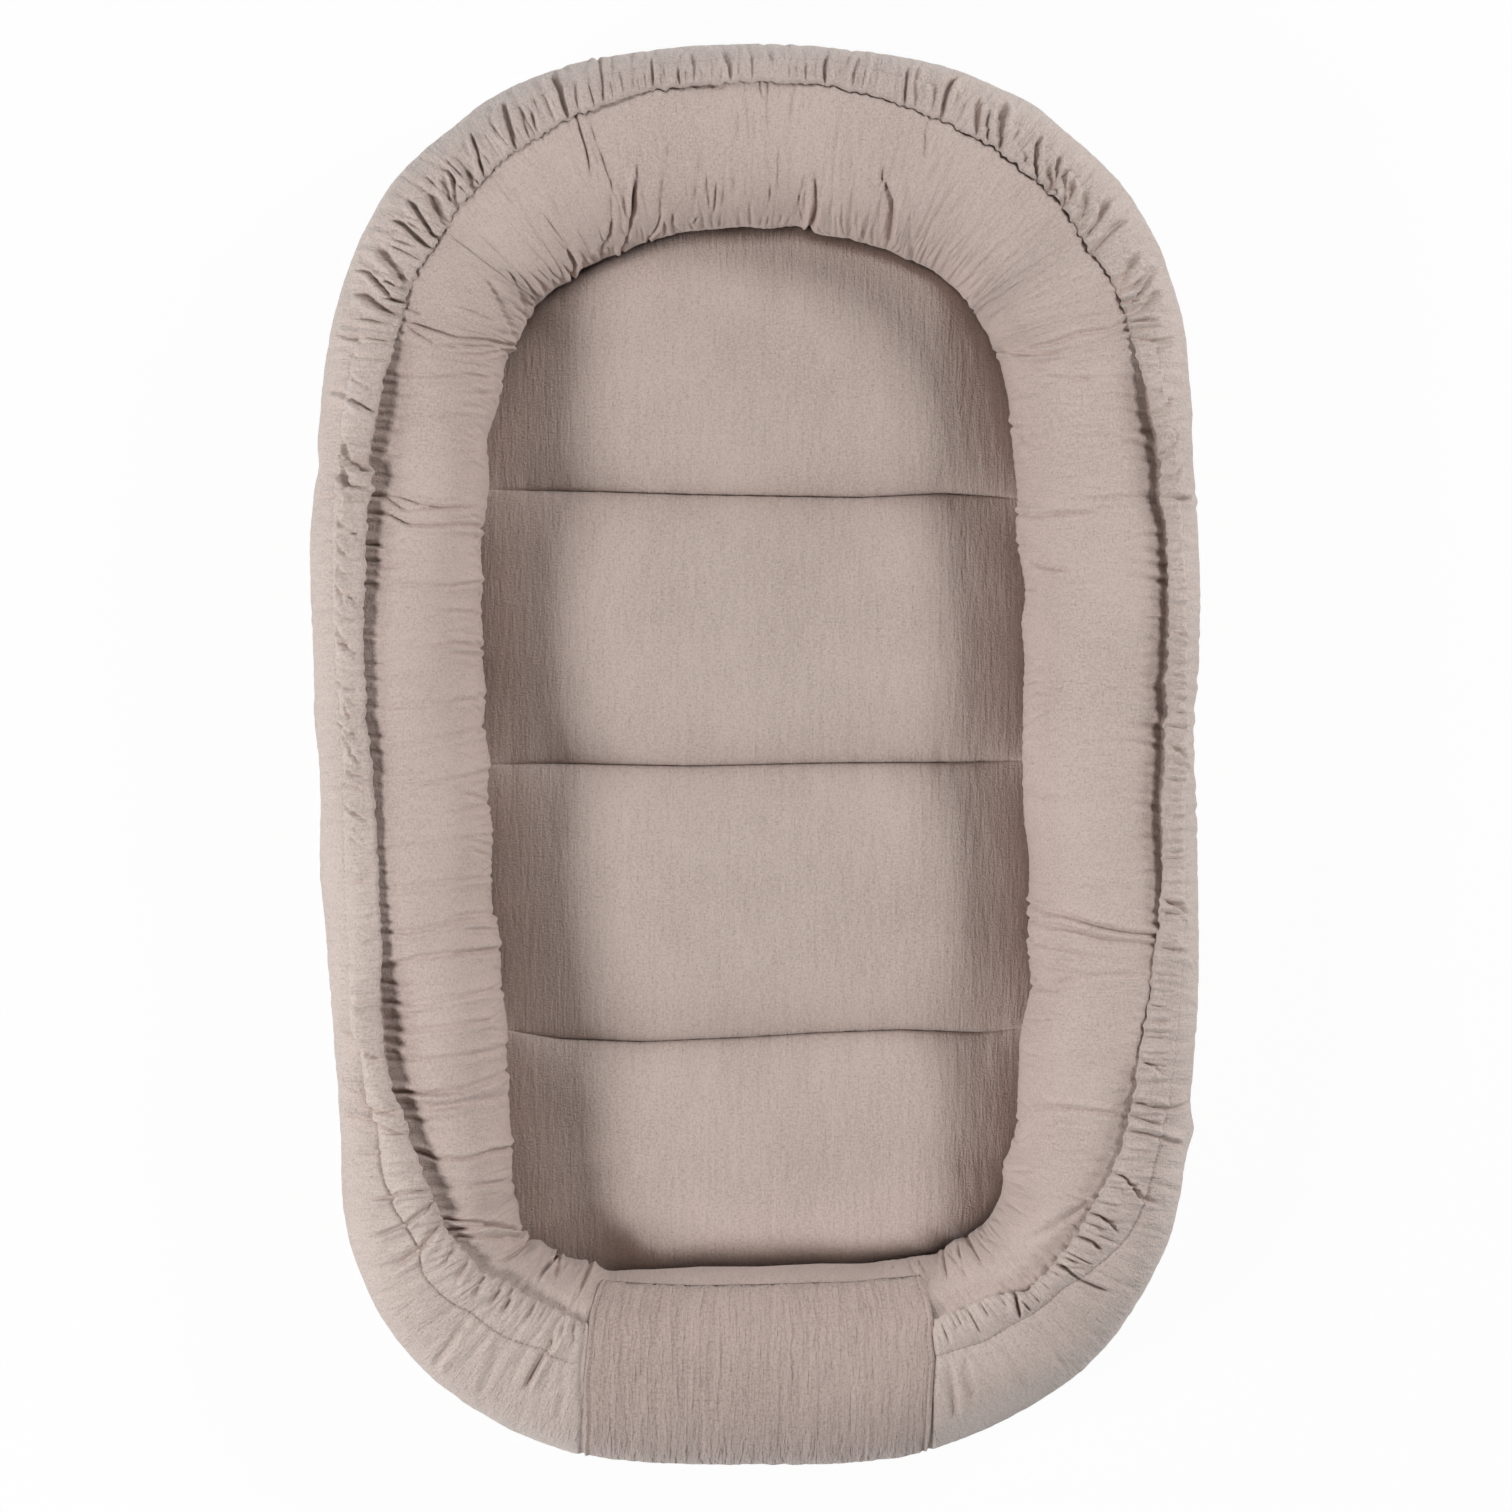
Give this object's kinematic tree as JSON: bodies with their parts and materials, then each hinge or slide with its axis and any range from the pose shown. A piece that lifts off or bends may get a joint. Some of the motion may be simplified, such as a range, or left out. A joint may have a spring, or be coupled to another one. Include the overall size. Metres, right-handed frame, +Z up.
{
  "type": "infant lounger",
  "caption": "Oval baby nest: a soft stuffed bolster in a muslin cover gathered by elastic, a plain foot panel and a channelled lift-out pad.",
  "frame": {"origin": "on the floor, under the middle of the lounger's plan", "axes": "+Z up; +Y towards the head end; +X to the right seen from above with the head end away"},
  "size_m": [0.5501, 0.88, 0.1388],
  "materials": {
    "muslin": "crinkled double muslin, matte",
    "plain_weave": "smooth plain weave, matte",
    "thread": "sewing thread, matched to the cloth",
    "fibre_fill": "polyester fibre wadding",
    "elastic": "woven flat elastic"
  },
  "bodies": {
    "nest": {"base_cloth": "muslin", "base_wadding": "fibre_fill", "base_lining": "plain_weave", "base_seam": "thread", "bumper_fill": "fibre_fill", "bumper_cover": "plain_weave", "outer_cover": "muslin", "elastic_casing": "muslin", "elastic_band": "elastic", "casing_stitching": "thread", "foot_panel": "muslin", "foot_seam_left": "muslin", "foot_seam_right": "muslin"},
    "pad": {"pad_top_cover": "muslin", "pad_bottom_cover": "muslin", "pad_fill_1": "fibre_fill", "pad_fill_2": "fibre_fill", "pad_fill_3": "fibre_fill", "pad_fill_4": "fibre_fill", "quilt_seam_1": "thread", "quilt_seam_2": "thread", "quilt_seam_3": "thread", "pad_edge_seam": "thread"}
  },
  "joints": [
    {"name": "pad_lift", "type": "slide", "parent": "nest", "child": "pad", "axis": [0, 0, 1], "range_m": [0, 0.2]}
  ]
}
